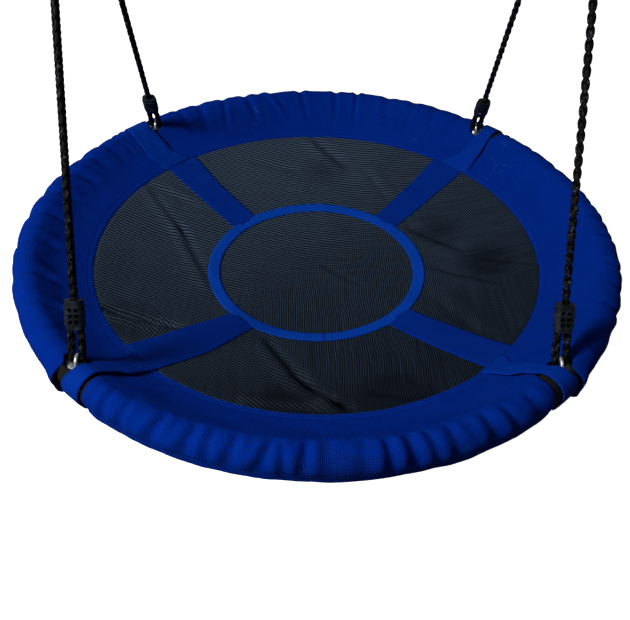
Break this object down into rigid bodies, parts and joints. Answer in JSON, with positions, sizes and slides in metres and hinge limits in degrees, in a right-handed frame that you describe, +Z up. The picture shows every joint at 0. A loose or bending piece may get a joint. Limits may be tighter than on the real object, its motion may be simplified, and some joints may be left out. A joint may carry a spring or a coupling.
{
  "type": "saucer nest swing",
  "caption": "Round nest swing: a padded steel ring with a dished mesh seat and webbing straps, hung from paired ropes with adjusters, rings and snap hooks.",
  "frame": {"origin": "middle of the line between the inner top bows of the two snap hooks, where the swing hangs", "axes": "+X from the left pair of ropes to the right pair, +Y from the front of the seat to its rear, +Z up; the swing goes to and fro along Y"},
  "size_m": [0.9998, 0.9999, 0.9478],
  "materials": {
    "frame_steel": "satin",
    "zinc_steel": "satin",
    "foam": "matte",
    "cover_cloth": "matte",
    "flap_webbing": "matte",
    "mesh_cloth": "matte",
    "webbing": "matte",
    "rope": "matte",
    "black_plastic": "matte"
  },
  "bodies": {
    "hangers": {"snap_hook_left": "zinc_steel", "snap_hook_right": "zinc_steel", "gate_rivets": "zinc_steel"},
    "gate_left": {"hook_gate_left": "zinc_steel"},
    "gate_right": {"hook_gate_right": "zinc_steel"},
    "rings": {"top_ring_left": "zinc_steel", "top_ring_right": "zinc_steel"},
    "ropes_left": {"rope_front_left": "rope", "rope_rear_left": "rope", "eye_sleeve_front_left": "black_plastic", "eye_sleeve_rear_left": "black_plastic"},
    "seat": {"frame_arc_front_left": "frame_steel", "frame_arc_front_right": "frame_steel", "frame_arc_rear_left": "frame_steel", "frame_arc_rear_right": "frame_steel", "joint_screws": "frame_steel", "rope_eye_front_left": "zinc_steel", "rope_eye_front_right": "zinc_steel", "rope_eye_rear_left": "zinc_steel", "rope_eye_rear_right": "zinc_steel", "foam_front_left": "foam", "foam_front_right": "foam", "foam_rear_left": "foam", "foam_rear_right": "foam", "cover_front": "cover_cloth", "cover_left": "cover_cloth", "cover_rear": "cover_cloth", "cover_right": "cover_cloth", "flap_front_left": "flap_webbing", "flap_front_right": "flap_webbing", "flap_rear_left": "flap_webbing", "flap_rear_right": "flap_webbing", "seat_mesh": "mesh_cloth", "centre_ring": "webbing", "strap_front_left": "webbing", "strap_front_right": "webbing", "strap_rear_left": "webbing", "strap_rear_right": "webbing"},
    "ropes_right": {"rope_front_right": "rope", "rope_rear_right": "rope", "eye_sleeve_front_right": "black_plastic", "eye_sleeve_rear_right": "black_plastic"},
    "adjuster_front_left": {"adjuster_front_left": "black_plastic"},
    "adjuster_front_right": {"adjuster_front_right": "black_plastic"},
    "adjuster_rear_left": {"adjuster_rear_left": "black_plastic"},
    "adjuster_rear_right": {"adjuster_rear_right": "black_plastic"}
  },
  "joints": [
    {"name": "gate_left_opens", "type": "hinge", "parent": "hangers", "child": "gate_left", "pos_m": [-0.31438, 0, -0.0668], "axis": [0, -1, 0], "range_deg": [0, 22], "stiffness_Nm_per_rad": 0.05, "springref_deg": -20.05},
    {"name": "gate_right_opens", "type": "hinge", "parent": "hangers", "child": "gate_right", "pos_m": [0.31438, 0, -0.0668], "axis": [0, 1, 0], "range_deg": [0, 22], "stiffness_Nm_per_rad": 0.05, "springref_deg": -20.05},
    {"name": "swing", "type": "hinge", "parent": "hangers", "child": "rings", "pos_m": [0, 0, -0.081], "axis": [1, 0, 0], "range_deg": [-40, 40]},
    {"name": "sway", "type": "hinge", "parent": "rings", "child": "ropes_left", "pos_m": [-0.3285, 0, -0.12113], "axis": [0, 1, 0], "range_deg": [-12, 12]},
    {"name": "level", "type": "hinge", "parent": "ropes_left", "child": "seat", "pos_m": [-0.3285, 0, -0.8125], "axis": [0, 1, 0], "range_deg": [-12, 12]},
    {"name": "right_ropes_sway", "type": "hinge", "parent": "seat", "child": "ropes_right", "pos_m": [0.3285, 0, -0.8125], "axis": [0, 1, 0], "range_deg": [-12, 12]},
    {"name": "adjuster_front_left_slide", "type": "slide", "parent": "ropes_left", "child": "adjuster_front_left", "axis": [0, 0.4175, 0.9087], "range_m": [0, 0.012]},
    {"name": "adjuster_front_right_slide", "type": "slide", "parent": "ropes_right", "child": "adjuster_front_right", "axis": [0, 0.4175, 0.9087], "range_m": [0, 0.012]},
    {"name": "adjuster_rear_left_slide", "type": "slide", "parent": "ropes_left", "child": "adjuster_rear_left", "axis": [0, -0.4175, 0.9087], "range_m": [0, 0.012]},
    {"name": "adjuster_rear_right_slide", "type": "slide", "parent": "ropes_right", "child": "adjuster_rear_right", "axis": [0, -0.4175, 0.9087], "range_m": [0, 0.012]}
  ],
  "couplings": [
    {"joint": "level", "follows": "sway", "ratio": -1},
    {"joint": "right_ropes_sway", "follows": "sway", "ratio": 1}
  ]
}
